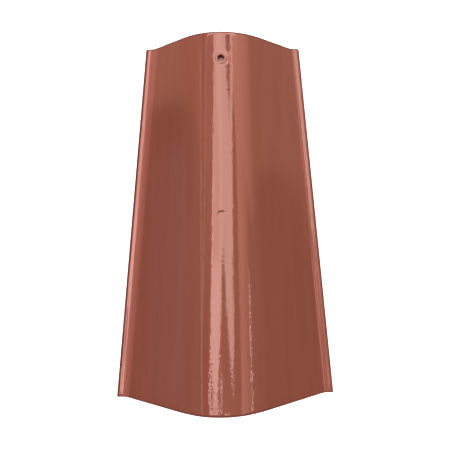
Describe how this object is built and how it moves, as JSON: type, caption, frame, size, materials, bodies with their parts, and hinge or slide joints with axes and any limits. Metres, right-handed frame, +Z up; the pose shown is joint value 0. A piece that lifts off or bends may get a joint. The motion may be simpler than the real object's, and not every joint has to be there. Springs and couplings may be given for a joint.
{
  "type": "clay roof tile",
  "caption": "Tapered, arched clay roof tile, glazed on top, with a flat lip along each side and a screw hole, in a dished spot-face, through the crown near its narrow end.",
  "frame": {"origin": "on the floor plane, under the middle of the tile's overall length and width", "axes": "+Z up through the crown, +Y along the tile towards its narrow end, +X across it"},
  "size_m": [0.2454, 0.4, 0.1003],
  "materials": {
    "glazed_clay": "gloss"
  },
  "bodies": {
    "root": {"roof_tile": "glazed_clay"}
  },
  "joints": []
}
